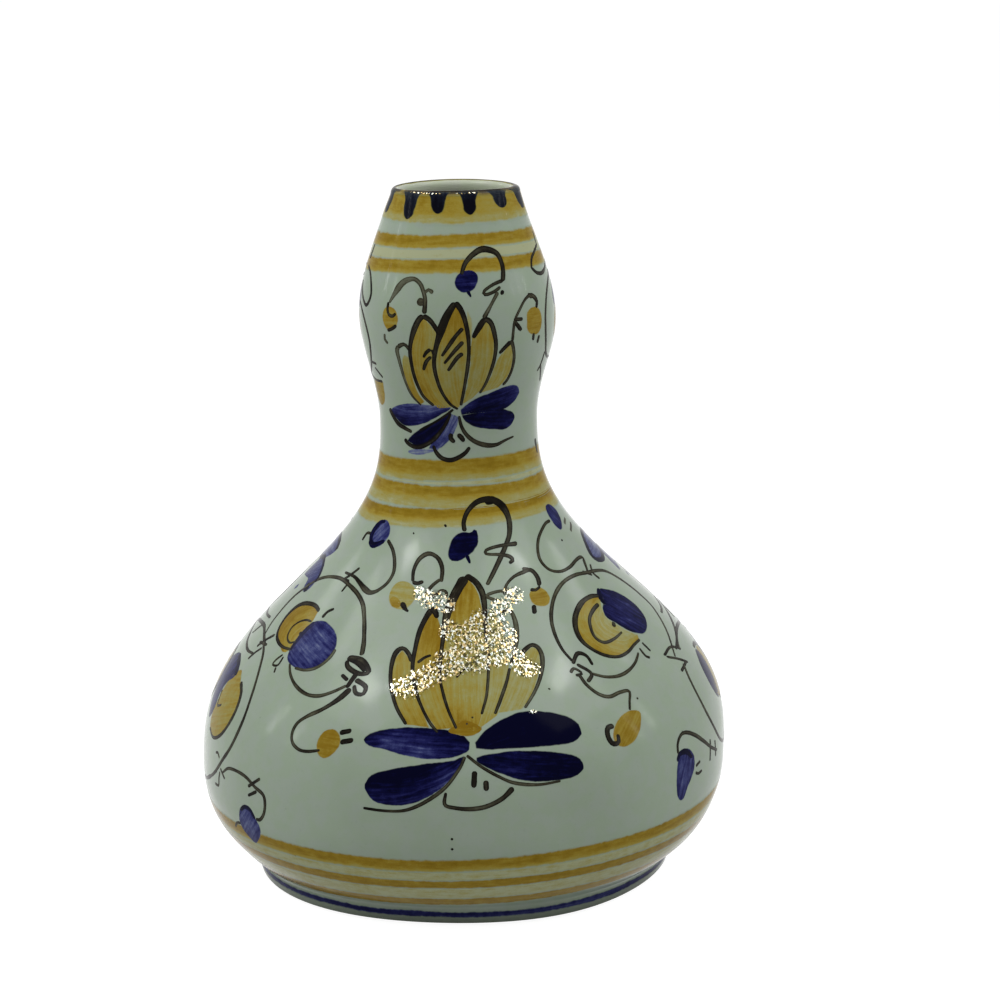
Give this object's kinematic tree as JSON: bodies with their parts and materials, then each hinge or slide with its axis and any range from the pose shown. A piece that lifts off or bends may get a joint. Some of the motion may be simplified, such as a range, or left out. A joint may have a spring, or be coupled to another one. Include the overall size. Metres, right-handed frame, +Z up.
{
  "type": "ceramic vase",
  "caption": "Gourd-shaped flower vase with a squat belly, a narrow waist, a small upper bulb and a low foot, in painted tin glaze.",
  "frame": {"origin": "centre of the foot's resting face, on the floor", "axes": "+Z up along the vase's axis of turning; -Y towards the viewer, who sees the front bloom"},
  "size_m": [0.1376, 0.1376, 0.18],
  "materials": {
    "clay": "bare fired buff clay, dry and matt",
    "white_glaze": "pale cool white tin glaze, glossy, with small specks",
    "ochre_paint": "brushed ochre yellow paint fired into the glaze",
    "cobalt_paint": "brushed cobalt blue paint fired into the glaze",
    "brown_paint": "dark brown brush line fired into the glaze"
  },
  "bodies": {
    "root": {"belly": "clay", "neck": "clay", "foot_ring": "clay", "outer_glaze": "white_glaze", "inner_glaze": "white_glaze", "base_glaze": "white_glaze", "lip_line": "brown_paint", "rim_band": "ochre_paint", "rim_drops": "cobalt_paint", "neck_bands": "ochre_paint", "waist_bands": "ochre_paint", "foot_bands": "ochre_paint", "foot_line": "cobalt_paint"}
  },
  "joints": []
}
